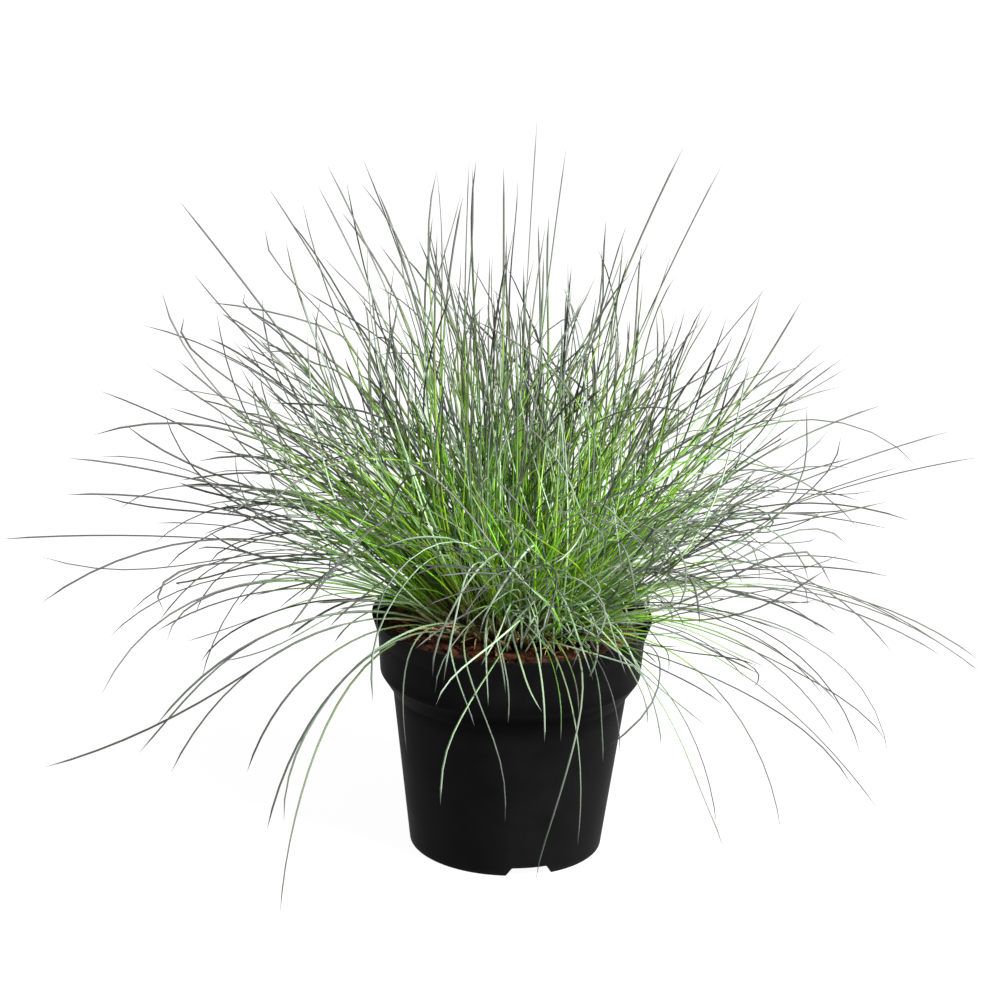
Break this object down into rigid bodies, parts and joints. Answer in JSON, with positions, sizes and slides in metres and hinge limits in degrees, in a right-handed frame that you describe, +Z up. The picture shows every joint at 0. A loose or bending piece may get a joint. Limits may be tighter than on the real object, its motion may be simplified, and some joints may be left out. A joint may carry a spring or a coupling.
{
  "type": "potted blue fescue clump",
  "caption": "Clump of needle-thin blue-green grass leaves, arching out all round from one crown in a round black nursery pot with a deep collar.",
  "frame": {"origin": "on the pot's axis at the height of its foot, the middle of the whole object's footprint", "axes": "+Z up along the pot's axis, +X to the right, and the side with the drainage notch faces -Y, the front"},
  "size_m": [0.595, 0.5135, 0.4475],
  "materials": {
    "pot_plastic": "black moulded plastic, matt",
    "potting_mix": "damp dark bark and peat",
    "crown_sheaths": "dry straw and pale green leaf sheaths",
    "leaves_upright": "fresh green needle leaves",
    "leaves_outer": "blue-grey green needle leaves"
  },
  "bodies": {
    "root": {"pot": "pot_plastic", "potting_mix": "potting_mix", "crown": "crown_sheaths", "tuft_centre": "leaves_upright", "tuft_upright_1": "leaves_upright", "tuft_upright_2": "leaves_upright", "tuft_upright_3": "leaves_upright", "tuft_upright_4": "leaves_upright", "tuft_upright_5": "leaves_upright", "tuft_upright_6": "leaves_upright", "tuft_leaning_1": "leaves_upright", "tuft_leaning_2": "leaves_upright", "tuft_leaning_3": "leaves_upright", "tuft_leaning_4": "leaves_upright", "tuft_leaning_5": "leaves_upright", "tuft_leaning_6": "leaves_upright", "tuft_leaning_7": "leaves_upright", "tuft_leaning_8": "leaves_upright", "tuft_leaning_9": "leaves_upright", "tuft_spreading_1": "leaves_outer", "tuft_spreading_2": "leaves_outer", "tuft_spreading_3": "leaves_outer", "tuft_spreading_4": "leaves_outer", "tuft_spreading_5": "leaves_outer", "tuft_spreading_6": "leaves_outer", "tuft_spreading_7": "leaves_outer", "tuft_spreading_8": "leaves_outer", "tuft_spreading_9": "leaves_outer", "tuft_spreading_10": "leaves_outer", "tuft_spreading_11": "leaves_outer", "tuft_spreading_12": "leaves_outer", "tuft_drooping_1": "leaves_outer", "tuft_drooping_2": "leaves_outer", "tuft_drooping_3": "leaves_outer", "tuft_drooping_4": "leaves_outer", "tuft_drooping_5": "leaves_outer", "tuft_drooping_6": "leaves_outer", "tuft_drooping_7": "leaves_outer", "tuft_drooping_8": "leaves_outer", "tuft_drooping_9": "leaves_outer", "tuft_drooping_10": "leaves_outer", "tuft_drooping_11": "leaves_outer", "tuft_drooping_12": "leaves_outer"}
  },
  "joints": []
}
